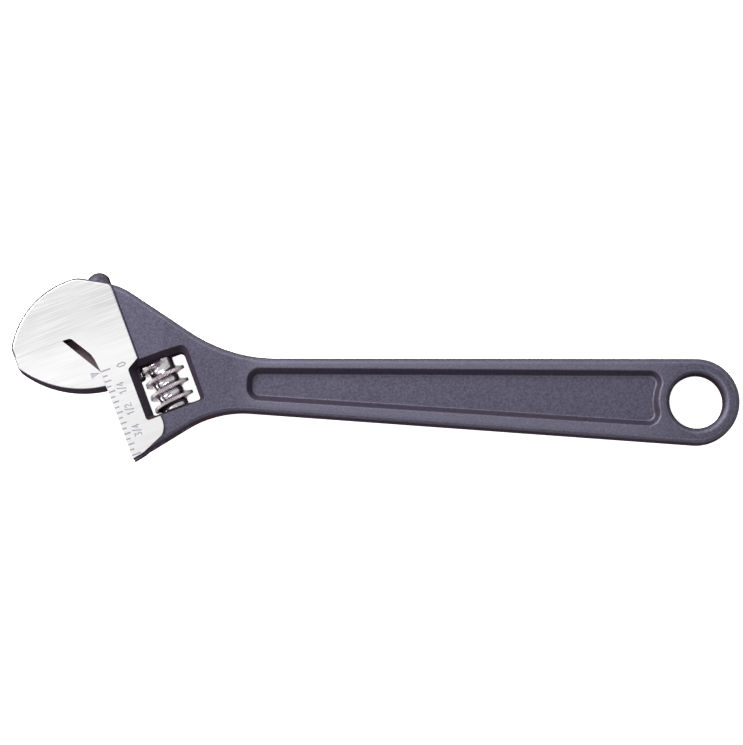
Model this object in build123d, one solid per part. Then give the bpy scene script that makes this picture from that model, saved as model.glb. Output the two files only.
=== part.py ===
from build123d import *
import math
import os

# Adjustable wrench, 8 inch size. Millimetres, +Z up.
# The wrench lies flat on its mid-plane z = 0. The origin is the centre of the hanging hole,
# the handle runs along X with the head at -X, and the fixed jaw is on the +Y side.

os.makedirs("parts", exist_ok=True)

# ---- handle and hanging ring
RING_RADIUS = 12.25
HANG_HOLE_RADIUS = 7.65
HANDLE_TAPER = 2.05
HANDLE_EDGE_FILLET = 1.9
RING_HOLE_FILLET = 1.9
HANDLE_TOP_Z = 4.2
RING_TOP_Z = 3.9

# ---- panel recess on each side of the handle
PANEL_LEFT_X = -126.2
PANEL_RIGHT_RADIUS = 12.3
PANEL_TOP_LEFT_Y = 3.2
PANEL_TOP_RIGHT_Y = 7.2
PANEL_BOTTOM_LEFT_Y = -2.7
PANEL_BOTTOM_RIGHT_Y = -6.4
PANEL_FLOOR_Z = 2.0
PANEL_WALL_ANGLE = 38.0
PANEL_CORNER_RADIUS = 2.0
PANEL_RIM_FILLET = 0.7

# ---- neck, where the handle spreads into the head
NECK_TOP_X = -133.2
NECK_TOP_RADIUS = 45.0
NECK_BOTTOM_RADIUS = 30.0

# ---- head frame: u runs to the jaw tips, s runs the way the jaw opens
HEAD_CORNER_X = -173.86
HEAD_CORNER_Y = 13.11
JAW_ANGLE = 22.5
HEAD = Location((HEAD_CORNER_X, HEAD_CORNER_Y, 0), (0, 0, 180 + JAW_ANGLE))

# ---- head thicknesses
FACE_Z = 6.25
HEAD_REAR_Z = 5.7

# ---- jaws, in u and s
NOSE_U = 21.65
JAW_FACE_START_U = 7.3
JAW_GAP = 0.05
RELIEF_END_S = 12.2
THROAT_LOWER = (0.46, 8.35)
THROAT_STEP = (0.98, 6.45)
THROAT_UPPER = (4.3, 1.0)
THROAT_BEND = (4.8, 0.4)
THROAT_END = (5.5, 0.12)
BACK_ARC_CENTRE = (0.17, 8.65)
BACK_ARC_RADIUS = 24.44
CROWN_CORNER = (-2.85, -15.6)
CROWN_RADIUS = 7.0
SHOULDER_CORNER = (-13.55, -9.48)
SHOULDER_RADIUS = 18.0
FIXED_RIM_FILLET = 0.75
MOVABLE_RIM_FILLET = 0.45
MOVABLE_ARC_CENTRE = (-3.4, -13.2)
MOVABLE_ARC_RADIUS = 30.0
WEB_END_S = 16.0

# ---- front edge of the head, and its ground strip
LOWER_END_S = 38.5
LOWER_SLANT = 0.1938
STRIP_U = -11.5
STRIP_CORNER_RADIUS = 2.2
LOBE_TOP = (-11.5, 30.5)
LOBE_MIDDLE = (-11.1, 33.5)
LOBE_BOTTOM = (-9.9, 35.1)
LOBE_FOOT_U = -3.6
STRIP_INNER_U = -9.0

# ---- rack bar, its bore and the web slot
RACK_U = -7.9
RACK_RADIUS = 3.4
RACK_TOP_S = -15.75
RACK_DOME_RADIUS = 3.6
RACK_END_S = 18.0
BORE_CLEARANCE = 0.05
WEB_THICKNESS = 4.0
SLOT_WIDTH = 4.2
WEB_TOP_S = 0.4
WEB_CORNER = 0.5
BORE_START_S = -30.0
BORE_END_S = 60.0
SLOT_START_S = 0.25
SLOT_REACH_U = 9.0
RACK_END_CHAMFER = 0.4

# ---- worm, its window, pin and spring
WORM_U = -16.5
WORM_PITCH = 3.75
WORM_RADIUS = 6.05
WORM_ROOT_RADIUS = 3.95
WORM_START_S = 14.3
WORM_END_S = 28.75
WORM_CREST_S = 16.25
CREST_WIDTH = 0.9
THREAD_BASE_WIDTH = 3.0
THREAD_KNEE_RADIUS = 5.0
THREAD_KNEE_WIDTH = 1.36
WINDOW_START_S = 14.2
WINDOW_END_S = 28.95
WINDOW_FRONT_U = -9.7
WINDOW_REAR_U = -23.8
WINDOW_WAIST_Z = 3.0
WINDOW_WAIST_CHAMFER = (0.7, 0.7)
WINDOW_WAIST_RADII = (0.8, 0.25, 0.25, 1.2, 0.6)
WINDOW_FACE_START_S = 12.05
WINDOW_FACE_END_S = 29.8
WINDOW_FACE_FRONT_U = -7.4
WINDOW_FACE_REAR_U = -26.0
WINDOW_FACE_CHAMFER = (3.5, 2.1)
WINDOW_FACE_RADII = (0.9, 0.9, 0.9, 2.6, 1.3)
PIN_RADIUS = 1.6
PIN_THREAD_RADIUS = 2.0
PIN_THREAD_LENGTH = 5.0
PIN_TOP_S = 9.0
PIN_END_DEPTH = 0.5
PIN_CLEARANCE = 0.02
SCREWDRIVER_SLOT = (5.0, 1.6, 0.6)
WORM_BORE_RADIUS = 1.67
SPRING_POCKET_RADIUS = 2.8
SPRING_POCKET_DEPTH = 4.0
SPRING_RADIUS = 2.25
SPRING_WIRE_RADIUS = 0.25
SPRING_TURNS = 4
SPRING_END_GAP = 0.02

# ---- rack grooves
GROOVE_BOTTOM_U = -10.3
GROOVE_BOTTOM_WIDTH = 1.6
GROOVE_TOP_WIDTH = 2.1

# ---- engraved scale: sixteenths of an inch up to one inch
INCH = 25.4
SCALE_ZERO_S = 12.25
ENGRAVE_DEPTH = 0.12
TICK_WIDTH = 0.42
TICK_LONG = 2.8
TICK_MIDDLE = 2.0
TICK_SHORT = 1.4
DIGIT_HEIGHT = 1.9
DIGIT_WIDTH = 0.85
DIGIT_SPACING = 1.35
STROKE_WIDTH = 0.28
LABEL_U = -3.9
POINTER_LENGTH = 2.7
POINTER_WIDTH = 1.6
ZERO_LABEL_U = -6.1
ZERO_ENLARGE = 1.35
POINTER_TIP = (0.3, 12.4)

# ---- strokes of the engraved characters, as shares of a character's width and height
DIGITS = {
    "0": [(0.1, 0.25), (0.1, 0.75), (0.5, 1.0), (0.9, 0.75), (0.9, 0.25), (0.5, 0.0), (0.1, 0.25)],
    "1": [(0.2, 0.8), (0.55, 1.0), (0.55, 0.0)],
    "2": [(0.0, 0.8), (0.45, 1.0), (0.9, 0.75), (0.0, 0.0), (1.0, 0.0)],
    "3": [(0.0, 1.0), (0.9, 1.0), (0.4, 0.6), (0.9, 0.3), (0.5, 0.0), (0.0, 0.1)],
    "4": [(0.75, 0.0), (0.75, 1.0), (0.0, 0.3), (1.0, 0.3)],
    "/": [(0.1, -0.1), (0.8, 1.1)],
}


def on_arc(centre, radius, u, side):
    """Point of a circle at the given u, on its low-s (-1) or high-s (+1) side."""
    rise = math.sqrt(radius**2 - (u - centre[0])**2)
    return (u, centre[1] + side * rise)


def half_height(x):
    """Half the handle's width at x."""
    slope = math.tan(math.radians(HANDLE_TAPER))
    return RING_RADIUS / math.cos(math.radians(HANDLE_TAPER)) + slope * x


def prism(face, z):
    """The face extruded to z above and below the mid-plane."""
    return extrude(face, amount=z, both=True)


def neck_bottom_x(foot):
    """Where the head's slanted lower edge, carried on from its foot, meets the handle."""
    slope = math.tan(math.radians(JAW_ANGLE) + math.atan(LOWER_SLANT))
    return (slope * foot.X - foot.Y - half_height(0)) / (slope + math.tan(math.radians(HANDLE_TAPER)))


def handle_edge():
    """Outline of the handle and ring, from the head's shoulder round to its lower corner."""
    shoulder = HEAD * Pos(*SHOULDER_CORNER)
    foot = HEAD * Pos(0, LOWER_END_S)
    ring_x = -RING_RADIUS * math.sin(math.radians(HANDLE_TAPER))
    bottom_x = neck_bottom_x(foot.position)
    neck_top = (NECK_TOP_X, half_height(NECK_TOP_X))
    neck_bottom = (bottom_x, -half_height(bottom_x))
    ring_top = (ring_x, half_height(ring_x))
    ring_bottom = (ring_x, -half_height(ring_x))
    return [
        Line((shoulder.position.X, shoulder.position.Y), neck_top),
        Line(neck_top, ring_top),
        ThreePointArc(ring_top, (RING_RADIUS, 0), ring_bottom),
        Line(ring_bottom, neck_bottom),
        Line(neck_bottom, (foot.position.X, foot.position.Y)),
    ]


def fixed_jaw_edge():
    """The outer edge of the fixed jaw from its face round to the crown."""
    nose = on_arc(BACK_ARC_CENTRE, BACK_ARC_RADIUS, NOSE_U, -1)
    middle = on_arc(BACK_ARC_CENTRE, BACK_ARC_RADIUS, NOSE_U / 2, -1)
    crown = on_arc(BACK_ARC_CENTRE, BACK_ARC_RADIUS, CROWN_CORNER[0], -1)
    return [
        Line((NOSE_U, 0), nose),
        ThreePointArc(nose, middle, crown),
        Line(crown, SHOULDER_CORNER),
    ]


def throat_edge():
    """The fixed side of the throat, from the front edge of the head up to the jaw face."""
    return [
        Line((0, LOWER_END_S), (0, RELIEF_END_S)),
        Line((0, RELIEF_END_S), THROAT_LOWER),
        Line(THROAT_LOWER, THROAT_STEP),
        Line(THROAT_STEP, THROAT_UPPER),
        ThreePointArc(THROAT_UPPER, THROAT_BEND, THROAT_END),
        Line(THROAT_END, (JAW_FACE_START_U, 0)),
        Line((JAW_FACE_START_U, 0), (NOSE_U, 0)),
    ]


def lower_edge_s(u):
    """The s of the head's slanted lower edge at u."""
    return LOWER_END_S + LOWER_SLANT * u


def round_corner(outline, corner, radius):
    """Round the outline's corner nearest to the given point."""
    vertex = outline.vertices().sort_by_distance((corner[0], corner[1], 0))[0]
    return fillet(vertex, radius)


def forging_outline():
    """The whole outline of head, handle and ring."""
    edges = [HEAD * edge for edge in fixed_jaw_edge() + throat_edge()]
    outline = make_face(Wire(edges + handle_edge()))
    crown = (HEAD * Pos(*CROWN_CORNER)).position
    shoulder = (HEAD * Pos(*SHOULDER_CORNER)).position
    bottom_x = neck_bottom_x((HEAD * Pos(0, LOWER_END_S)).position)
    outline = round_corner(outline, (crown.X, crown.Y), CROWN_RADIUS)
    outline = round_corner(outline, (shoulder.X, shoulder.Y), SHOULDER_RADIUS)
    outline = round_corner(outline, (NECK_TOP_X, half_height(NECK_TOP_X)), NECK_TOP_RADIUS)
    return round_corner(outline, (bottom_x, -half_height(bottom_x)), NECK_BOTTOM_RADIUS)


def ground_outline():
    """The part of the head that is ground flat: the fixed jaw and the strip with the scale."""
    crown = on_arc(BACK_ARC_CENTRE, BACK_ARC_RADIUS, CROWN_CORNER[0], -1)
    share = (STRIP_U - crown[0]) / (SHOULDER_CORNER[0] - crown[0])
    strip_top = (STRIP_U, crown[1] + share * (SHOULDER_CORNER[1] - crown[1]))
    window_top = WINDOW_START_S + 1
    window_bottom = WINDOW_END_S - 1
    foot = (LOBE_FOOT_U, lower_edge_s(LOBE_FOOT_U))
    edges = fixed_jaw_edge()[:2]
    edges += [
        Line(crown, strip_top),
        Line(strip_top, (STRIP_U, window_top)),
        Line((STRIP_U, window_top), (STRIP_INNER_U, window_top)),
        Line((STRIP_INNER_U, window_top), (STRIP_INNER_U, window_bottom)),
        Line((STRIP_INNER_U, window_bottom), (LOBE_TOP[0], window_bottom)),
        Line((LOBE_TOP[0], window_bottom), LOBE_TOP),
        ThreePointArc(LOBE_TOP, LOBE_MIDDLE, LOBE_BOTTOM),
        Line(LOBE_BOTTOM, foot),
        Line(foot, (0, LOWER_END_S)),
    ]
    outline = make_face(Wire(edges + throat_edge()))
    outline = round_corner(outline, CROWN_CORNER, CROWN_RADIUS)
    return round_corner(outline, strip_top, STRIP_CORNER_RADIUS)


def side_profile():
    """Side view of the forging: thick at the head, thinner down the handle."""
    corners = [(-205, HEAD_REAR_Z), (-152, HEAD_REAR_Z), (-128, HANDLE_TOP_Z), (20, RING_TOP_Z)]
    mirrored = [(x, -z) for x, z in reversed(corners)]
    face = Plane.XZ * make_face(Polyline(corners + mirrored, close=True))
    return extrude(face, amount=60, both=True)


def panel_cutter():
    """Recess in the upper side of the handle, with sloped walls and an arc beside the ring."""
    reach = PANEL_RIGHT_RADIUS
    corners = [
        (PANEL_LEFT_X, PANEL_TOP_LEFT_Y),
        (0, PANEL_TOP_RIGHT_Y),
        (0, PANEL_BOTTOM_RIGHT_Y),
        (PANEL_LEFT_X, PANEL_BOTTOM_LEFT_Y),
    ]
    floor = make_face(Polyline(corners, close=True)) - Circle(reach)
    floor = floor.faces().sort_by(Axis.X)[0]
    floor = fillet(floor.vertices(), PANEL_CORNER_RADIUS)
    return extrude(Pos(0, 0, PANEL_FLOOR_Z) * floor, amount=4.0, taper=-PANEL_WALL_ANGLE)


def local_box(u0, u1, s0, s1, z):
    """Box in head coordinates, z above and below the mid-plane."""
    return Pos((u0 + u1) / 2, (s0 + s1) / 2, 0) * Box(u1 - u0, s1 - s0, 2 * z)


def along_s(u, s0, s1, radius):
    """Cylinder along the sliding direction, in head coordinates."""
    return Pos(u, (s0 + s1) / 2, 0) * Rot(90, 0, 0) * Cylinder(radius, s1 - s0)


def round_rims(solid, radius, keep):
    """Round the edges of the solid that keep() picks."""
    rims = solid.edges().filter_by(keep)
    return fillet(rims, radius)


def forging():
    """Handle, ring and the rear of the head, with rounded rims, before any machining."""
    blank = prism(forging_outline(), 8) & side_profile()
    blank = blank.solids()[0]
    blank = round_rims(blank, HANDLE_EDGE_FILLET, lambda e: abs(e.center().Z) > 3.5)
    blank -= panel_cutter()
    blank -= mirror(panel_cutter(), Plane.XY)
    blank -= Cylinder(HANG_HOLE_RADIUS, 20)
    blank = round_rims(blank, RING_HOLE_FILLET, is_hole_rim)
    blank = round_rims(blank, PANEL_RIM_FILLET, is_panel_rim)
    return blank


def is_hole_rim(edge):
    """True for the two rims of the hanging hole."""
    box = edge.bounding_box()
    return abs(box.size.X - 2 * HANG_HOLE_RADIUS) < 0.01 and abs(edge.center().Z) > 3


def is_panel_rim(edge):
    """True for the edges where the panels' walls meet the handle's faces or the panels' floors."""
    box = edge.bounding_box()
    inside = box.min.X > PANEL_LEFT_X - 3 and box.max.X < -HANG_HOLE_RADIUS - 1.5
    narrow = box.max.Y < half_height(box.center().X) - 2 and box.min.Y > -half_height(box.center().X) + 2
    level = box.size.Z < 1.0
    return inside and narrow and level


def ground_block():
    """The thicker front of the head whose two sides are ground flat."""
    block = prism(ground_outline(), FACE_Z)
    return round_rims(block, FIXED_RIM_FILLET, is_outer_rim)


def is_outer_rim(edge):
    """True for the ground block's rims along the nose, the back and the rear of the strip."""
    middle = edge @ 0.5
    on_face = abs(edge.center().Z) > FACE_Z - 0.1
    on_strip = middle.X < STRIP_U + 0.1 and middle.Y < WINDOW_START_S
    return on_face and (middle.Y < -1 or on_strip)


def window_outline(front, rear, start, end, chamfer, radii):
    """Window outline with its front upper corner cut off; radii run round from the lower front."""
    corners = [
        (front, end),
        (front, start + chamfer[1]),
        (front - chamfer[0], start),
        (rear, start),
        (rear, end),
    ]
    outline = make_face(Polyline(corners, close=True))
    for corner, radius in zip(corners, radii):
        vertex = outline.vertices().sort_by_distance((corner[0], corner[1], 0))[0]
        outline = fillet(vertex, radius)
    return outline


def window_cutter():
    """Window for the worm: straight at the middle, opening out to both faces."""
    waist = window_outline(
        WINDOW_FRONT_U,
        WINDOW_REAR_U,
        WINDOW_START_S,
        WINDOW_END_S,
        WINDOW_WAIST_CHAMFER,
        WINDOW_WAIST_RADII,
    )
    face = window_outline(
        WINDOW_FACE_FRONT_U,
        WINDOW_FACE_REAR_U,
        WINDOW_FACE_START_S,
        WINDOW_FACE_END_S,
        WINDOW_FACE_CHAMFER,
        WINDOW_FACE_RADII,
    )
    flare = loft([Pos(0, 0, WINDOW_WAIST_Z) * waist, Pos(0, 0, FACE_Z) * face])
    upper = flare + extrude(Pos(0, 0, FACE_Z) * face, amount=1)
    return prism(waist, WINDOW_WAIST_Z) + upper + mirror(upper, Plane.XY)


def movable_outline():
    """Side outline of the movable jaw, in head coordinates."""
    nose = on_arc(MOVABLE_ARC_CENTRE, MOVABLE_ARC_RADIUS, NOSE_U, 1)
    middle = on_arc(MOVABLE_ARC_CENTRE, MOVABLE_ARC_RADIUS, NOSE_U / 2, 1)
    heel = on_arc(MOVABLE_ARC_CENTRE, MOVABLE_ARC_RADIUS, BORE_CLEARANCE, 1)
    edges = [
        Line((JAW_FACE_START_U, JAW_GAP), (NOSE_U, JAW_GAP)),
        Line((NOSE_U, JAW_GAP), nose),
        ThreePointArc(nose, middle, heel),
        Line(heel, (BORE_CLEARANCE, RELIEF_END_S)),
        Line((BORE_CLEARANCE, RELIEF_END_S), (JAW_FACE_START_U, JAW_GAP)),
    ]
    return make_face(Wire(edges))


def rack_bar():
    """Round bar with a domed top end, in head coordinates."""
    dome_rise = RACK_DOME_RADIUS - math.sqrt(RACK_DOME_RADIUS**2 - RACK_RADIUS**2)
    dome_start = RACK_TOP_S + dome_rise
    dome_middle_r = RACK_RADIUS / 2
    dome_middle_s = RACK_TOP_S + RACK_DOME_RADIUS - math.sqrt(RACK_DOME_RADIUS**2 - dome_middle_r**2)
    end_radius = RACK_RADIUS - RACK_END_CHAMFER
    chamfer_s = RACK_END_S - RACK_END_CHAMFER
    section = make_face(
        Wire(
            [
                Line((0, RACK_END_S), (end_radius, RACK_END_S)),
                Line((end_radius, RACK_END_S), (RACK_RADIUS, chamfer_s)),
                Line((RACK_RADIUS, chamfer_s), (RACK_RADIUS, dome_start)),
                ThreePointArc((RACK_RADIUS, dome_start), (dome_middle_r, dome_middle_s), (0, RACK_TOP_S)),
                Line((0, RACK_TOP_S), (0, RACK_END_S)),
            ]
        )
    )
    return Pos(RACK_U, 0, 0) * revolve(section, Axis.Y)


def rack_grooves():
    """Straight grooves across the bar that clear the worm's thread."""
    deep = GROOVE_BOTTOM_WIDTH / 2
    wide = GROOVE_TOP_WIDTH / 2
    top_u = RACK_U - RACK_RADIUS - 0.3
    section = make_face(
        Polyline((GROOVE_BOTTOM_U, -deep), (GROOVE_BOTTOM_U, deep), (top_u, wide), (top_u, -wide), close=True)
    )
    groove = extrude(section, amount=4, both=True)
    first = math.ceil((RACK_TOP_S + 4 - WORM_CREST_S) / WORM_PITCH)
    return [Pos(0, WORM_CREST_S + k * WORM_PITCH, 0) * groove for k in range(first, 1)]


def movable_jaw():
    """Lower jaw, its web and its toothed bar, in head coordinates."""
    jaw = prism(movable_outline(), FACE_Z)
    jaw = round_rims(jaw, MOVABLE_RIM_FILLET, is_lower_rim)
    web = make_face(
        Polyline(
            (JAW_FACE_START_U - WEB_CORNER, WEB_TOP_S + WEB_CORNER),
            (JAW_FACE_START_U - 2 * WEB_CORNER, WEB_TOP_S),
            (RACK_U, WEB_TOP_S),
            (RACK_U, WEB_END_S),
            (WEB_CORNER, WEB_END_S),
            (WEB_CORNER, RELIEF_END_S),
            close=True,
        )
    )
    jaw += prism(web, WEB_THICKNESS / 2)
    jaw += rack_bar() - rack_grooves()
    return jaw - engraver([pointer()])


def is_lower_rim(edge):
    """True for the movable jaw's rims along its lower arc and its nose."""
    middle = edge @ 0.5
    on_face = abs(edge.center().Z) > FACE_Z - 0.1
    on_nose = middle.X > NOSE_U - 0.1
    on_arc_edge = middle.Y > 3 and edge.length > 20
    return on_face and (on_nose or on_arc_edge)


def worm():
    """Worm with a right-hand thread, a bore for its pin and a pocket for its spring."""
    length = WORM_END_S - WORM_START_S
    lead_in = 2 * WORM_PITCH - (WORM_CREST_S - WORM_START_S)
    inner = WORM_ROOT_RADIUS - 0.3
    half_base = THREAD_BASE_WIDTH / 2
    half_knee = THREAD_KNEE_WIDTH / 2
    half_crest = CREST_WIDTH / 2
    path = Helix(WORM_PITCH, length + lead_in + WORM_PITCH, inner)
    section = Plane.XZ * make_face(
        Polyline(
            (inner, -half_base),
            (THREAD_KNEE_RADIUS, -half_knee),
            (WORM_RADIUS, -half_crest),
            (WORM_RADIUS, half_crest),
            (THREAD_KNEE_RADIUS, half_knee),
            (inner, half_base),
            close=True,
        )
    )
    thread = sweep(section, path=path, is_frenet=True)
    solid = Cylinder(WORM_ROOT_RADIUS, 4 * length) + thread
    middle = lead_in + length / 2
    solid &= Pos(0, 0, middle) * Cylinder(WORM_RADIUS + 1, length)
    solid -= Cylinder(WORM_BORE_RADIUS, 4 * length)
    solid -= Pos(0, 0, lead_in) * Cylinder(SPRING_POCKET_RADIUS, 2 * SPRING_POCKET_DEPTH)
    return Pos(WORM_U, WORM_START_S - lead_in, 0) * Rot(-90, 0, 0) * solid


def pin_end_s():
    """Where the pin's outer end stops, just under the slanted edge of the head."""
    return lower_edge_s(WORM_U) - PIN_END_DEPTH


def worm_pin():
    """Axle pin of the worm, with a thicker threaded end and a screwdriver slot."""
    end = pin_end_s()
    shoulder = end - PIN_THREAD_LENGTH
    pin = along_s(WORM_U, PIN_TOP_S, shoulder, PIN_RADIUS)
    pin += along_s(WORM_U, shoulder, end, PIN_THREAD_RADIUS)
    pin -= Pos(WORM_U, end, 0) * Box(*SCREWDRIVER_SLOT)
    return pin


def pin_hole():
    """Stepped hole in the head for the worm's pin."""
    shoulder = pin_end_s() - PIN_THREAD_LENGTH
    hole = along_s(WORM_U, PIN_TOP_S - PIN_CLEARANCE, shoulder, PIN_RADIUS + PIN_CLEARANCE)
    return hole + along_s(WORM_U, shoulder, BORE_END_S, PIN_THREAD_RADIUS + PIN_CLEARANCE)


def worm_spring():
    """Small compression spring round the pin, between the worm and the head."""
    room = SPRING_POCKET_DEPTH + WORM_START_S - WINDOW_START_S
    height = room - 2 * (SPRING_WIRE_RADIUS + SPRING_END_GAP)
    path = Helix(height / SPRING_TURNS, height, SPRING_RADIUS)
    wire = Plane.XZ * (Pos(SPRING_RADIUS, 0) * Circle(SPRING_WIRE_RADIUS))
    coil = sweep(wire, path=path, is_frenet=True)
    start = WINDOW_START_S + SPRING_WIRE_RADIUS + SPRING_END_GAP
    return Pos(WORM_U, start, 0) * Rot(-90, 0, 0) * coil


def bar(start, end):
    """Flat bar between two points, half a stroke longer at each end."""
    across = end[0] - start[0]
    up = end[1] - start[1]
    turn = math.degrees(math.atan2(up, across))
    middle = Pos((start[0] + end[0]) / 2, (start[1] + end[1]) / 2)
    return middle * Rot(0, 0, turn) * Rectangle(math.hypot(across, up) + STROKE_WIDTH, STROKE_WIDTH)


def digit(character, enlarge):
    """One engraved character, made of straight strokes."""
    width = enlarge * DIGIT_WIDTH
    height = enlarge * DIGIT_HEIGHT
    points = [(x * width, (y - 0.5) * height) for x, y in DIGITS[character]]
    bars = [bar(start, end) for start, end in zip(points, points[1:])]
    return Sketch() + bars


def label(text, u, s, enlarge=1.0):
    """Engraved number centred at u, s, read along -s with its top toward the jaw tips."""
    width = enlarge * DIGIT_WIDTH
    first = -DIGIT_SPACING * width * (len(text) - 1) / 2 - width / 2
    place = Pos(u, s) * Rot(0, 0, -90)
    return [place * Pos(first + i * DIGIT_SPACING * width, 0) * digit(c, enlarge) for i, c in enumerate(text)]


def tick(index):
    """Engraved mark at a number of sixteenths of an inch."""
    if index % 16 == 0:
        length = TICK_LONG
    elif index % 2 == 0:
        length = TICK_MIDDLE
    else:
        length = TICK_SHORT
    s = SCALE_ZERO_S + index * INCH / 16
    return Pos(0.1 - length / 2, s) * Rectangle(length + 0.2, TICK_WIDTH)


def engraver(marks):
    """Shallow cutter in the upper ground face under the given flat marks."""
    return extrude(Pos(0, 0, FACE_Z - ENGRAVE_DEPTH) * (Sketch() + marks), amount=1)


def scale_marks():
    """All marks of the scale on the head."""
    marks = [tick(index) for index in range(17)]
    marks += label("0", ZERO_LABEL_U, SCALE_ZERO_S, ZERO_ENLARGE)
    for quarter, text in enumerate(("1/4", "1/2", "3/4"), start=1):
        marks += label(text, LABEL_U, SCALE_ZERO_S + quarter * INCH / 4)
    return marks


def pointer():
    """Triangle on the movable jaw that points at the scale."""
    tip_u, tip_s = POINTER_TIP
    top = (tip_u + POINTER_LENGTH, tip_s - POINTER_WIDTH / 2)
    bottom = (tip_u + POINTER_LENGTH, tip_s + POINTER_WIDTH / 2)
    return make_face(Polyline(top, bottom, POINTER_TIP, close=True))


def fixed_jaw_body():
    """Forged handle and head with the fixed jaw, machined for everything it holds."""
    cuts = window_cutter()
    cuts += along_s(RACK_U, BORE_START_S, BORE_END_S, RACK_RADIUS + BORE_CLEARANCE)
    cuts += local_box(RACK_U, SLOT_REACH_U, SLOT_START_S, BORE_END_S, SLOT_WIDTH / 2)
    cuts += pin_hole()
    body = forging() + HEAD * ground_block()
    body -= HEAD * cuts
    body -= HEAD * engraver(scale_marks())
    return body


def main():
    """Build every piece and write one file for each."""
    nodes = {
        "fixed_jaw_body": fixed_jaw_body(),
        "movable_jaw": HEAD * movable_jaw(),
        "adjusting_worm": HEAD * worm(),
        "worm_pin": HEAD * worm_pin(),
        "worm_spring": HEAD * worm_spring(),
    }
    for name, shape in nodes.items():
        export_step(shape, f"parts/{name}.step")


main()
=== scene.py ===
import math

import bmesh
import bpy
from mathutils import Matrix, Vector


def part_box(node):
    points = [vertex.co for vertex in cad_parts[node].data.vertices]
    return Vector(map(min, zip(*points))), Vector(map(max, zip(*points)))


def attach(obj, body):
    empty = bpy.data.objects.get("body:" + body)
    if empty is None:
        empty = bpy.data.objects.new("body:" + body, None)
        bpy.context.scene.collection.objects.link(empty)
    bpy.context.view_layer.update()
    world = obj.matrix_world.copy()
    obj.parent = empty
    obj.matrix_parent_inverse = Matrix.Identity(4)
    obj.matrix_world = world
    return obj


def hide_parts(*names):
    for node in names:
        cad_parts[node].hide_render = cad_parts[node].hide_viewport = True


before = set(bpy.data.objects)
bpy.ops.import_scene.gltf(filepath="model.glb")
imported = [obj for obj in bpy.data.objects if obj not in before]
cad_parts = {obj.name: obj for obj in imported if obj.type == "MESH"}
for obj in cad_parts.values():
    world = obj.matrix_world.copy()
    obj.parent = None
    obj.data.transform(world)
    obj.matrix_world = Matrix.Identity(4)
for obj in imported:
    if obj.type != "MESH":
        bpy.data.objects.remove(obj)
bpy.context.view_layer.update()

MM = 0.001

# ---- places taken from the design, in metres
JAW_ANGLE = math.radians(22.5)
HEAD_CORNER = Vector((-173.86, 13.11, 0)) * MM
HEAD_TURN = math.pi + JAW_ANGLE
FACE_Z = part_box("fixed_jaw_body")[1].z

# ---- worm
WORM_U = -16.5 * MM
WORM_START_S = 14.3 * MM
WORM_END_S = 28.75 * MM
WORM_CREST_S = 16.25 * MM
WORM_PITCH = 3.75 * MM
WORM_TURNS = range(-2, 5)
WORM_BORE_RADIUS = 1.67 * MM
WORM_ROOT_RADIUS = 3.93 * MM
SPRING_POCKET_RADIUS = 2.8 * MM
SPRING_POCKET_DEPTH = 4.0 * MM
THREAD_START_S = 15.2 * MM
THREAD_RAMP = 0.5 * MM
KNURL_TEETH = 76
KNURL_SEGMENTS = 4 * KNURL_TEETH
KNURL_DEPTH = 0.16 * MM
KNURL_START_RADIUS = 5.2 * MM
KNURL_FADE = 0.6 * MM
MERGE_DISTANCE = 1e-7
DEGENERATE_LENGTH = 1e-8
SHARP_ANGLE = math.radians(40)

# thread section in millimetres: distance along the worm from the crest's middle, and radius
HALF_THREAD_PROFILE = [
    (0.38, 6.03),
    (0.47, 5.90),
    (0.55, 5.60),
    (0.68, 5.05),
    (0.85, 4.60),
    (1.05, 4.24),
    (1.30, 4.02),
    (1.60, 3.93),
]
MIRRORED_PROFILE = [(-across, radius) for across, radius in reversed(HALF_THREAD_PROFILE)]
THREAD_PROFILE = MIRRORED_PROFILE + [(0.0, 6.04)] + HALF_THREAD_PROFILE
THREAD_TROUGH = (1.875, 3.92)

# ---- camera: nearly straight down, a little from the lower side, with a long lens
VIEW_DISTANCE = 1.12
VIEW_TILT = math.radians(6.5)
VIEW_ROLL = math.radians(2.1)
VIEW_TARGET = Vector((-92.6, 5.2, 0)) * MM
SENSOR = 36.0
PIXELS_PER_METRE = 3500.0
IMAGE_WIDTH = 743
CLIP_START = 0.01

# ---- lights: offsets from the view's target and widths in metres, powers in watts
WHITE = (1.0, 1.0, 1.0, 1.0)
WORLD_STRENGTH = 0.62
KEY_OFFSET = Vector((-0.38, 0.34, 0.36))
KEY_WIDTH = 0.30
KEY_POWER = 7.5
FILL_OFFSET = Vector((-0.5, -0.6, 0.6))
FILL_WIDTH = 0.5
FILL_POWER = 2.0

# ---- floor: the wrench lies on the head's flat and on its ring
HEAD_CONTACT_X = -150 * MM
RING_CONTACT_X = 9 * MM
RING_BOTTOM_Z = -3.7 * MM
FLOOR_REACH = 3.0
FLOOR_GAP = 0.02 * MM
FLOOR_COLOURS = ((0.90, 0.90, 0.90), (0.93, 0.93, 0.93))
FLOOR_MOTTLE = (12.0, 3.0, 0.5)
FLOOR_ROUGHNESS = 0.9
FLOOR_SPECULAR = 0.1
FLOOR_GLOW = 0.9

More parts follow.
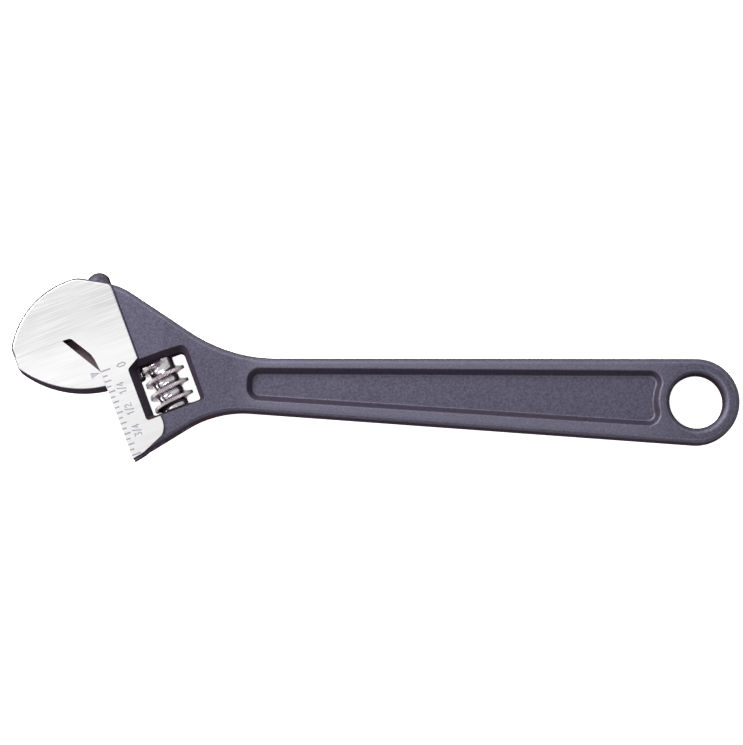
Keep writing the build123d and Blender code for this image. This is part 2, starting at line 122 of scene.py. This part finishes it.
# ---- where the forging's finishes, painted highlights, painted shade and painted light lie: a mask is 0 at the first value and 1 at the second
FLAT_HEIGHT = (FACE_Z - 0.045 * MM, FACE_Z - 0.02 * MM)
ON_PLANE = (0.12 * MM, 0.08 * MM)
PAST_THROAT_U = (7.0 * MM, 7.3 * MM)
BELOW_THROAT_S = (12.1 * MM, 12.3 * MM)
MARK_HEIGHT = (FACE_Z - 0.16 * MM, FACE_Z - 0.14 * MM)
MARK_LEVEL = (0.985, 0.995)
EDGE_LEVEL = 0.93
OFF_EDGE_LEVEL = (0.06, 0.02)
RIM_HEIGHT = (3.2 * MM, 3.7 * MM)
RIM_LEVEL = (0.90, 0.97)
RIM_START_X = (-134 * MM, -120 * MM)
RIM_END_X = (2 * MM, -22 * MM)
BAR_END_S = (-12.8 * MM, -13.4 * MM)
STEEP_LEVEL = (0.90, 0.45)
THROAT_START_U = (0.0, 0.1 * MM)
THROAT_END_U = (7.4 * MM, 7.2 * MM)
THROAT_START_S = (-0.6 * MM, -0.3 * MM)
THROAT_END_S = (12.4 * MM, 12.1 * MM)
THROAT_HEIGHT = (FACE_Z - 0.1 * MM, FACE_Z - 0.4 * MM)
SLIDING_SIDE_S = (-8.0 * MM, 10.0 * MM)

# ---- dark finish, with a painted highlight, painted shade and painted light: a noise is its scale, detail and roughness; a bump its distance and strength
SAND = (1700.0, 4.0, 0.7)
SAND_SPAN = (0.30, 0.70)
SAND_BUMP = (0.09 * MM, 0.55)
PATCHES = (90.0, 3.0, 0.55)
SPECKS = (2400.0, 2.0, 0.7)
SPECK_SPAN = (0.58, 0.74)
# The second speck share is used where the highlight is painted; there the pale specks are painted
# glints.
SPECK_SHARES = (0.25, 0.75)
SPECK_COLOUR = (0.20, 0.19, 0.24)
SLATE = ((0.030, 0.026, 0.047), (0.070, 0.064, 0.102))
PALER_SLATE = ((0.038, 0.034, 0.058), (0.080, 0.074, 0.116))
# Painted highlight: a paler colour on rounded edges and on the rims of the handle.
HIGHLIGHT_COLOUR = (0.17, 0.16, 0.215)
HIGHLIGHT_SHARE = 0.32
RIM_HIGHLIGHT_SHARE = 0.8
BAR_END_COLOUR = (0.020, 0.018, 0.030)
BAR_END_SHARE = 0.85
# Painted shade: a dark brown colour on steep walls.
WALL_SHADE_COLOUR = (0.024, 0.014, 0.021)
WALL_SHADE_SHARE = 0.92
# Painted light: a lighter brown on the walls inside the throat.
THROAT_LIGHT_COLOUR = (0.13, 0.085, 0.097)
MARK_COLOUR = (0.33, 0.30, 0.35)
DARK_METALLIC = 0.35
DARK_ROUGHNESS = (0.46, 0.66)
SPECULAR = 0.5

# ---- ground finish: the lines are long along u and fine along s
LINE_STRETCH = (60.0, 3800.0, 1.0)
LINES = (1.0, 4.0, 0.6)
LINE_SPAN = (0.25, 0.75)
LINE_BUMP = (0.012 * MM, 0.35)
BAND_STRETCH = (25.0, 420.0, 1.0)
BANDS = (1.0, 2.0, 0.5)
BAND_COLOUR = (0.54, 0.535, 0.54)
BAND_SHARE = 0.30
GROUND_COLOURS = ((0.52, 0.515, 0.52), (0.78, 0.775, 0.775))
GROUND_ROUGHNESS = (0.30, 0.46)
# Painted light: the ground flats are made brighter toward the movable jaw.
SLIDING_SIDE_LIGHT_COLOUR = (0.86, 0.86, 0.86)
SLIDING_SIDE_LIGHT_SHARE = 0.75
FLAT_RELIEF = 0.5

# ---- turned steel of the pin, the spring and the worm
RING_STRETCH = (40.0, 9000.0, 40.0)
RINGS = (1.0, 3.0, 0.6)
RING_BUMP = (0.01 * MM, 0.3)
RING_ROUGHENING = 0.14
STAINS = (500.0, 4.0, 0.6)
STAIN_SPAN = (0.45, 0.75)
STAIN_SHADE = 0.62
PIN_COLOUR = (0.45, 0.44, 0.45)
PIN_ROUGHNESS = 0.30
SPRING_COLOUR = (0.40, 0.40, 0.41)
SPRING_ROUGHNESS = 0.28
OFF_ROOT_RADIUS = (4.05 * MM, 4.6 * MM)
ON_CREST_RADIUS = (5.35 * MM, 5.75 * MM)
WORM_STAINS = (700.0, 4.0, 0.6)
WORM_STAIN_SPAN = (0.42, 0.72)
GRIT = (3000.0, 3.0, 0.7)
GRIT_SPAN = (0.3, 0.7)
GRIT_BUMP = (0.03 * MM, 0.3)
ROOT_COLOURS = ((0.86, 0.85, 0.86), (0.50, 0.45, 0.50))
# Painted shade on the thread's flanks, in two tones mixed by stains.
FLANK_SHADE_COLOURS = ((0.30, 0.24, 0.28), (0.14, 0.10, 0.13))
CREST_COLOURS = ((0.30, 0.26, 0.28), (0.66, 0.62, 0.62))
ROOT_ROUGHNESS = (0.14, 0.28)
CREST_ROUGHNESS = 0.45


def head_point(u, s, z=0.0):
    """Point given along the jaws (u) and along the slide (s), from the head's corner."""
    return HEAD_CORNER + Matrix.Rotation(HEAD_TURN, 3, "Z") @ Vector((u, s, z))


# ------------------------------------------------------------------ shader helpers

def new_material(name):
    """Node material, its tree and its Principled shader."""
    material = bpy.data.materials.new(name)
    material.use_nodes = True
    tree = material.node_tree
    shader = tree.nodes["Principled BSDF"]
    return material, tree, shader


def feed(tree, socket, value):
    """Give a socket a colour, a number or the output of another node."""
    if isinstance(value, tuple):
        socket.default_value = (*value, 1.0)
    elif isinstance(value, (int, float)):
        socket.default_value = value
    else:
        tree.links.new(value, socket)


def math_node(tree, operation, a, b=None):
    """Maths on one or two values, each a socket or a number."""
    node = tree.nodes.new("ShaderNodeMath")
    node.operation = operation
    feed(tree, node.inputs[0], a)
    if b is not None:
        feed(tree, node.inputs[1], b)
    return node.outputs[0]


def product(tree, first, *others):
    """All the values multiplied together, from left to right."""
    result = first
    for value in others:
        result = math_node(tree, "MULTIPLY", result, value)
    return result


def inverse(tree, value):
    """One minus the value."""
    return math_node(tree, "SUBTRACT", 1.0, value)


def vector_math(tree, operation, vector, other=None):
    """Vector maths node on a vector socket and, where one is given, a fixed vector."""
    node = tree.nodes.new("ShaderNodeVectorMath")
    node.operation = operation
    tree.links.new(vector, node.inputs[0])
    if other is not None:
        node.inputs[1].default_value = other
    return node


def separate(tree, vector):
    """The three components of a vector socket."""
    node = tree.nodes.new("ShaderNodeSeparateXYZ")
    tree.links.new(vector, node.inputs[0])
    return node.outputs


def step_up(tree, value, low, high):
    """0 at low, 1 at high, smooth between; low may be the larger of the two."""
    node = tree.nodes.new("ShaderNodeMapRange")
    node.interpolation_type = "SMOOTHSTEP"
    node.inputs["From Min"].default_value = low
    node.inputs["From Max"].default_value = high
    tree.links.new(value, node.inputs["Value"])
    return node.outputs["Result"]


def mix_colour(tree, factor, a, b):
    """Colour a where factor is 0 and b where it is 1; each a socket or a colour."""
    node = tree.nodes.new("ShaderNodeMix")
    node.data_type = "RGBA"
    feed(tree, node.inputs[0], factor)
    feed(tree, node.inputs[6], a)
    feed(tree, node.inputs[7], b)
    return node.outputs[2]


def mix_value(tree, factor, a, b):
    """Number a where factor is 0 and b where it is 1; each a socket or a number."""
    node = tree.nodes.new("ShaderNodeMix")
    node.data_type = "FLOAT"
    feed(tree, node.inputs[0], factor)
    feed(tree, node.inputs[2], a)
    feed(tree, node.inputs[3], b)
    return node.outputs[0]


def noise(tree, vector, scale, detail, roughness):
    """Noise value at a vector socket; the scale is in cells per unit of the vector."""
    node = tree.nodes.new("ShaderNodeTexNoise")
    node.inputs["Scale"].default_value = scale
    node.inputs["Detail"].default_value = detail
    node.inputs["Roughness"].default_value = roughness
    tree.links.new(vector, node.inputs["Vector"])
    return node.outputs["Fac"]


def head_coordinates(tree):
    """Texture coordinates node, and its object coordinates in the head's frame (x is u, y is s)."""
    coordinates = tree.nodes.new("ShaderNodeTexCoord")
    mapping = tree.nodes.new("ShaderNodeMapping")
    mapping.vector_type = "TEXTURE"
    mapping.inputs["Location"].default_value = HEAD_CORNER
    mapping.inputs["Rotation"].default_value = (0, 0, HEAD_TURN)
    tree.links.new(coordinates.outputs["Object"], mapping.inputs["Vector"])
    return coordinates, mapping.outputs["Vector"]


def stretched(tree, vector, scale):
    """The vector scaled on each axis."""
    mapping = tree.nodes.new("ShaderNodeMapping")
    mapping.inputs["Scale"].default_value = scale
    tree.links.new(vector, mapping.inputs["Vector"])
    return mapping.outputs["Vector"]


def bump(tree, height, distance, strength, normal=None):
    """Normal tilted by a height, which is in metres times the given distance."""
    node = tree.nodes.new("ShaderNodeBump")
    node.inputs["Distance"].default_value = distance
    node.inputs["Strength"].default_value = strength
    tree.links.new(height, node.inputs["Height"])
    if normal is not None:
        tree.links.new(normal, node.inputs["Normal"])
    return node.outputs["Normal"]


# ------------------------------------------------------------------ forged steel

def forging_places(tree):
    """Sockets that say where a point of the forging is and how level its surface is."""
    coordinates, head = head_coordinates(tree)
    place = coordinates.outputs["Object"]
    u, s, z = separate(tree, head)
    normal = separate(tree, coordinates.outputs["Normal"])
    return {
        "place": place,
        "head": head,
        "x": separate(tree, place)[0],
        "u": u,
        "s": s,
        "height": math_node(tree, "ABSOLUTE", z),
        "level": math_node(tree, "ABSOLUTE", normal[2]),
    }


def ground_mask(tree, at):
    """Where the steel is ground: the two flats, the jaw faces and the sliding edge."""
    flat = step_up(tree, at["height"], *FLAT_HEIGHT)
    on_face_line = step_up(tree, math_node(tree, "ABSOLUTE", at["s"]), *ON_PLANE)
    jaw_face = product(tree, on_face_line, step_up(tree, at["u"], *PAST_THROAT_U))
    on_edge_line = step_up(tree, math_node(tree, "ABSOLUTE", at["u"]), *ON_PLANE)
    slide_face = product(tree, on_edge_line, step_up(tree, at["s"], *BELOW_THROAT_S))
    return math_node(tree, "MAXIMUM", flat, math_node(tree, "MAXIMUM", jaw_face, slide_face))


def mark_mask(tree, at, ground):
    """Where the engraved marks are: level floors just under the flats."""
    floor_level = step_up(tree, at["level"], *MARK_LEVEL)
    near_face = step_up(tree, at["height"], *MARK_HEIGHT)
    return product(tree, floor_level, near_face, inverse(tree, ground))


def highlight_mask(tree, at, bar_end):
    """Where a highlight is painted as a paler colour: rounded edges and the rims of the handle, not the
    bar end.
    """
    off_edge = math_node(tree, "ABSOLUTE", math_node(tree, "SUBTRACT", at["level"], EDGE_LEVEL))
    edge = step_up(tree, off_edge, *OFF_EDGE_LEVEL)
    rim = product(
        tree,
        step_up(tree, at["height"], *RIM_HEIGHT),
        step_up(tree, at["level"], *RIM_LEVEL),
        step_up(tree, at["x"], *RIM_START_X),
        step_up(tree, at["x"], *RIM_END_X),
        RIM_HIGHLIGHT_SHARE,
    )
    highlight = math_node(tree, "MAXIMUM", edge, rim)
    return product(tree, highlight, inverse(tree, bar_end))


def throat_light_mask(tree, at):
    """Where light is painted in the throat: its inside, below the flats and behind the jaw face."""
    return product(
        tree,
        step_up(tree, at["u"], *THROAT_START_U),
        step_up(tree, at["s"], *THROAT_START_S),
        step_up(tree, at["s"], *THROAT_END_S),
        step_up(tree, at["height"], *THROAT_HEIGHT),
        step_up(tree, at["u"], *THROAT_END_U),
    )


def dark_colour(tree, at, sand, steep_shade):
    """Slate with a sand grain and specks, a painted highlight on edges and rims, painted shade in dark
    brown on steep walls and painted light in lighter brown in the throat.
    """
    grains = step_up(tree, sand, *SAND_SPAN)
    slate = mix_colour(tree, grains, *SLATE)
    paler_slate = mix_colour(tree, grains, *PALER_SLATE)
    colour = mix_colour(tree, noise(tree, at["place"], *PATCHES), slate, paler_slate)
    bar_end = step_up(tree, at["s"], *BAR_END_S)
    # Painted highlight on rounded edges and rims.
    highlight = highlight_mask(tree, at, bar_end)
    colour = mix_colour(tree, product(tree, highlight, HIGHLIGHT_SHARE), colour, HIGHLIGHT_COLOUR)
    colour = mix_colour(tree, product(tree, bar_end, BAR_END_SHARE), colour, BAR_END_COLOUR)
    specks = step_up(tree, noise(tree, at["place"], *SPECKS), *SPECK_SPAN)
    # More specks where the highlight is painted: painted glints.
    speck_amount = mix_value(tree, highlight, *SPECK_SHARES)
    colour = mix_colour(tree, product(tree, specks, speck_amount), colour, SPECK_COLOUR)
    # Painted shade: dark brown on steep walls.
    colour = mix_colour(tree, product(tree, steep_shade, WALL_SHADE_SHARE), colour, WALL_SHADE_COLOUR)
    # Painted light: lighter brown in the throat.
    return mix_colour(tree, throat_light_mask(tree, at), colour, THROAT_LIGHT_COLOUR)


def ground_colour(tree, at, lines):
    """Bright steel with straight grinding lines, and painted light that makes it brighter toward the
    movable jaw.
    """
    colour = mix_colour(tree, step_up(tree, lines, *LINE_SPAN), *GROUND_COLOURS)
    bands = noise(tree, stretched(tree, at["head"], BAND_STRETCH), *BANDS)
    colour = mix_colour(tree, product(tree, bands, BAND_SHARE), colour, BAND_COLOUR)
    # Painted light, brighter toward the movable jaw.
    sliding_side_light = step_up(tree, at["s"], *SLIDING_SIDE_S)
    return mix_colour(tree, product(tree, sliding_side_light, SLIDING_SIDE_LIGHT_SHARE), colour, SLIDING_SIDE_LIGHT_COLOUR)


def forging_relief(tree, ground, sand, lines):
    """Normal with the sand grain on the dark finish and the lines on the ground one."""
    sand_height = mix_value(tree, ground, sand, FLAT_RELIEF)
    line_height = mix_value(tree, ground, FLAT_RELIEF, lines)
    grain = bump(tree, sand_height, *SAND_BUMP)
    return bump(tree, line_height, *LINE_BUMP, grain)


def forged_material():
    """Sand-textured dark phosphate forging with the flats of the jaws ground bright."""
    material, tree, shader = new_material("forged_steel")
    at = forging_places(tree)
    ground = ground_mask(tree, at)
    # Steep walls get painted shade: a dark brown colour and no metallic or specular shine.
    steep_shade = step_up(tree, at["level"], *STEEP_LEVEL)
    sand = noise(tree, at["place"], *SAND)
    lines = noise(tree, stretched(tree, at["head"], LINE_STRETCH), *LINES)

    dark = dark_colour(tree, at, sand, steep_shade)
    colour = mix_colour(tree, ground, dark, ground_colour(tree, at, lines))
    colour = mix_colour(tree, mark_mask(tree, at, ground), colour, MARK_COLOUR)
    dark_metallic = mix_value(tree, steep_shade, DARK_METALLIC, 0.0)
    dark_specular = mix_value(tree, steep_shade, SPECULAR, 0.0)
    dark_roughness = mix_value(tree, sand, *DARK_ROUGHNESS)
    ground_roughness = mix_value(tree, lines, *GROUND_ROUGHNESS)

    feed(tree, shader.inputs["Base Color"], colour)
    feed(tree, shader.inputs["Metallic"], mix_value(tree, ground, dark_metallic, 1.0))
    feed(tree, shader.inputs["Specular IOR Level"], mix_value(tree, ground, dark_specular, SPECULAR))
    feed(tree, shader.inputs["Roughness"], mix_value(tree, ground, dark_roughness, ground_roughness))
    feed(tree, shader.inputs["Normal"], forging_relief(tree, ground, sand, lines))
    return material


# ------------------------------------------------------------------ turned steel

def turned_material(name, colour, roughness):
    """Turned steel with fine rings along the worm's axis and faint stains."""
    material, tree, shader = new_material(name)
    _, head = head_coordinates(tree)
    rings = noise(tree, stretched(tree, head, RING_STRETCH), *RINGS)
    stains = step_up(tree, noise(tree, head, *STAINS), *STAIN_SPAN)
    darker = tuple(STAIN_SHADE * channel for channel in colour)
    feed(tree, shader.inputs["Base Color"], mix_colour(tree, stains, colour, darker))
    feed(tree, shader.inputs["Metallic"], 1.0)
    rough = mix_value(tree, rings, roughness, roughness + RING_ROUGHENING)
    feed(tree, shader.inputs["Roughness"], rough)
    feed(tree, shader.inputs["Normal"], bump(tree, rings, *RING_BUMP))
    return material


def worm_axis_distance(tree, head):
    """Distance of a point from the worm's axis."""
    centred = vector_math(tree, "SUBTRACT", head, (WORM_U, 0.0, 0.0))
    across = vector_math(tree, "MULTIPLY", centred.outputs[0], (1.0, 0.0, 1.0))
    return vector_math(tree, "LENGTH", across.outputs[0]).outputs["Value"]


def worm_material():
    """Bright turned root, painted shade on the flanks and a dull knurled crest, told apart by their
    radius.
    """
    material, tree, shader = new_material("worm_steel")
    _, head = head_coordinates(tree)
    radius = worm_axis_distance(tree, head)
    off_root = step_up(tree, radius, *OFF_ROOT_RADIUS)
    on_crest = step_up(tree, radius, *ON_CREST_RADIUS)
    rings = noise(tree, stretched(tree, head, RING_STRETCH), *RINGS)
    stains = step_up(tree, noise(tree, head, *WORM_STAINS), *WORM_STAIN_SPAN)
    grit = noise(tree, head, *GRIT)

    root = mix_colour(tree, stains, *ROOT_COLOURS)
    # Painted shade on the flanks, with stains.
    flank_shade = mix_colour(tree, stains, *FLANK_SHADE_COLOURS)
    crest = mix_colour(tree, step_up(tree, grit, *GRIT_SPAN), *CREST_COLOURS)
    colour = mix_colour(tree, on_crest, mix_colour(tree, off_root, root, flank_shade), crest)
    root_roughness = mix_value(tree, rings, *ROOT_ROUGHNESS)
    turned = bump(tree, rings, *RING_BUMP)

    feed(tree, shader.inputs["Base Color"], colour)
    feed(tree, shader.inputs["Metallic"], 1.0)
    feed(tree, shader.inputs["Roughness"], mix_value(tree, on_crest, root_roughness, CREST_ROUGHNESS))
    feed(tree, shader.inputs["Normal"], bump(tree, grit, *GRIT_BUMP, turned))
    return material


# ------------------------------------------------------------------ the worm

def thread_radius(across):
    """Radius of the thread at a distance along the worm from any crest."""
    wrapped = (across / WORM_PITCH + 0.5) % 1.0 - 0.5
    place = wrapped * WORM_PITCH / MM
    trough_at, trough_radius = THREAD_TROUGH
    points = [(-trough_at, trough_radius)] + THREAD_PROFILE + [THREAD_TROUGH]
    for (x0, r0), (x1, r1) in zip(points, points[1:]):
        if x0 <= place <= x1:
            return (r0 + (r1 - r0) * (place - x0) / (x1 - x0)) * MM
    return trough_radius * MM


def worm_column(turn):
    """One lengthwise section of the worm, a closed loop of (s, radius) pairs."""
    shift = WORM_PITCH * turn / (2 * math.pi)
    end_radius = thread_radius(WORM_END_S - WORM_CREST_S - shift)
    column = []
    for k in WORM_TURNS:
        crest_s = WORM_CREST_S + k * WORM_PITCH + shift
        ramp = min(max((crest_s - THREAD_START_S) / THREAD_RAMP, 0.0), 1.0)
        for across, radius in THREAD_PROFILE:
            s = crest_s + across * MM
            if s < WORM_START_S:
                column.append((WORM_START_S, WORM_ROOT_RADIUS))
            elif s > WORM_END_S:
                column.append((WORM_END_S, end_radius))
            else:
                column.append((s, WORM_ROOT_RADIUS + ramp * (radius * MM - WORM_ROOT_RADIUS)))
    pocket_s = WORM_START_S + SPRING_POCKET_DEPTH
    column.append((WORM_END_S, WORM_BORE_RADIUS))
    column.append((pocket_s, WORM_BORE_RADIUS))
    column.append((pocket_s, SPRING_POCKET_RADIUS))
    column.append((WORM_START_S, SPRING_POCKET_RADIUS))
    return column


def knurled(radius, index):
    """Radius lowered in the valleys between the knurl's teeth, near the crest only."""
    near_crest = min(max((radius - KNURL_START_RADIUS) / KNURL_FADE, 0.0), 1.0)
    valley = 0.5 - 0.5 * math.cos(2 * math.pi * index * KNURL_TEETH / KNURL_SEGMENTS)
    return radius - KNURL_DEPTH * near_crest * valley


def worm_shape():
    """Closed mesh of the worm: lengthwise columns side by side round its axis."""
    shape = bmesh.new()
    columns = []
    for index in range(KNURL_SEGMENTS + 1):
        turn = 2 * math.pi * index / KNURL_SEGMENTS
        column = []
        for s, radius in worm_column(turn):
            r = knurled(radius, index)
            place = head_point(WORM_U + r * math.cos(turn), s, -r * math.sin(turn))
            column.append(shape.verts.new(place))
        columns.append(column)
    for left, right in zip(columns, columns[1:]):
        count = len(left)
        for i in range(count):
            j = (i + 1) % count
            shape.faces.new((left[i], right[i], right[j], left[j]))
    bmesh.ops.remove_doubles(shape, verts=shape.verts, dist=MERGE_DISTANCE)
    bmesh.ops.dissolve_degenerate(shape, edges=shape.edges, dist=DEGENERATE_LENGTH)
    bmesh.ops.recalc_face_normals(shape, faces=shape.faces)
    return shape


def make_worm(material):
    """Knurled worm that takes the place of the plain one."""
    shape = worm_shape()
    mesh = bpy.data.meshes.new("knurled_worm")
    shape.to_mesh(mesh)
    shape.free()
    mesh.shade_smooth()
    mesh.set_sharp_from_angle(angle=SHARP_ANGLE)
    mesh.materials.append(material)
    piece = bpy.data.objects.new("knurled_worm", mesh)
    bpy.context.scene.collection.objects.link(piece)
    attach(piece, "worm")
    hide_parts("adjusting_worm")


# ------------------------------------------------------------------ stage

def floor_material():
    """White matt floor with a very faint mottle, which gives off some light of its own."""
    material, tree, shader = new_material("studio_floor")
    coordinates = tree.nodes.new("ShaderNodeTexCoord")
    mottle = noise(tree, coordinates.outputs["Object"], *FLOOR_MOTTLE)
    feed(tree, shader.inputs["Base Color"], mix_colour(tree, mottle, *FLOOR_COLOURS))
    feed(tree, shader.inputs["Roughness"], FLOOR_ROUGHNESS)
    feed(tree, shader.inputs["Specular IOR Level"], FLOOR_SPECULAR)
    shader.inputs["Emission Color"].default_value = WHITE
    feed(tree, shader.inputs["Emission Strength"], FLOOR_GLOW)
    return material


def make_floor():
    """Floor that touches the head's lower flat and the underside of the ring."""
    slope = (RING_BOTTOM_Z + FACE_Z) / (RING_CONTACT_X - HEAD_CONTACT_X)
    reach = FLOOR_REACH
    corners = []
    for x, y in ((-reach, -reach), (reach, -reach), (reach, reach), (-reach, reach)):
        corners.append((x, y, -FACE_Z + (x - HEAD_CONTACT_X) * slope - FLOOR_GAP))
    mesh = bpy.data.meshes.new("studio_floor")
    mesh.from_pydata(corners, [], [(0, 1, 2, 3)])
    floor = bpy.data.objects.new("studio_floor", mesh)
    bpy.context.scene.collection.objects.link(floor)
    mesh.materials.append(floor_material())


def make_camera():
    """Camera above the wrench, leaning a little to its lower side and rolled to the handle."""
    lean = Matrix.Rotation(VIEW_ROLL, 3, "Z") @ Matrix.Rotation(VIEW_TILT, 3, "X")
    place = VIEW_TARGET + lean @ Vector((0, 0, VIEW_DISTANCE))
    data = bpy.data.cameras.new("camera")
    data.sensor_width = SENSOR
    data.lens = SENSOR * PIXELS_PER_METRE * VIEW_DISTANCE / IMAGE_WIDTH
    data.clip_start = CLIP_START
    camera = bpy.data.objects.new("camera", data)
    bpy.context.scene.collection.objects.link(camera)
    camera.matrix_world = Matrix.Translation(place) @ lean.to_4x4()
    bpy.context.scene.camera = camera


def area_light(name, offset, width, power):
    """Soft light with equal sides, at an offset from the view's target and turned to face it."""
    place = VIEW_TARGET + offset
    data = bpy.data.lights.new(name, "AREA")
    data.shape = "RECTANGLE"
    data.size = width
    data.size_y = width
    data.energy = power
    light = bpy.data.objects.new(name, data)
    bpy.context.scene.collection.objects.link(light)
    light.location = place
    light.rotation_euler = (VIEW_TARGET - place).to_track_quat("-Z", "Y").to_euler()


def make_lights():
    """Even white surroundings, a key light from the upper left and a weak one from the lower left."""
    world = bpy.data.worlds.new("studio")
    world.use_nodes = True
    background = world.node_tree.nodes["Background"]
    background.inputs["Color"].default_value = WHITE
    background.inputs["Strength"].default_value = WORLD_STRENGTH
    bpy.context.scene.world = world
    area_light("key", KEY_OFFSET, KEY_WIDTH, KEY_POWER)
    area_light("fill", FILL_OFFSET, FILL_WIDTH, FILL_POWER)


def dress():
    """Materials of the CAD nodes, and the worm that replaces the plain one."""
    forged = forged_material()
    worm_steel = worm_material()
    pin_steel = turned_material("pin_steel", PIN_COLOUR, PIN_ROUGHNESS)
    spring_steel = turned_material("spring_steel", SPRING_COLOUR, SPRING_ROUGHNESS)
    looks = {
        "fixed_jaw_body": forged,
        "movable_jaw": forged,
        "worm_pin": pin_steel,
        "worm_spring": spring_steel,
    }
    for name, material in looks.items():
        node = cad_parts[name]
        for slot in node.material_slots:
            slot.material = material
    make_worm(worm_steel)


make_floor()
make_camera()
make_lights()
dress()
bpy.context.scene.view_settings.view_transform = "Standard"
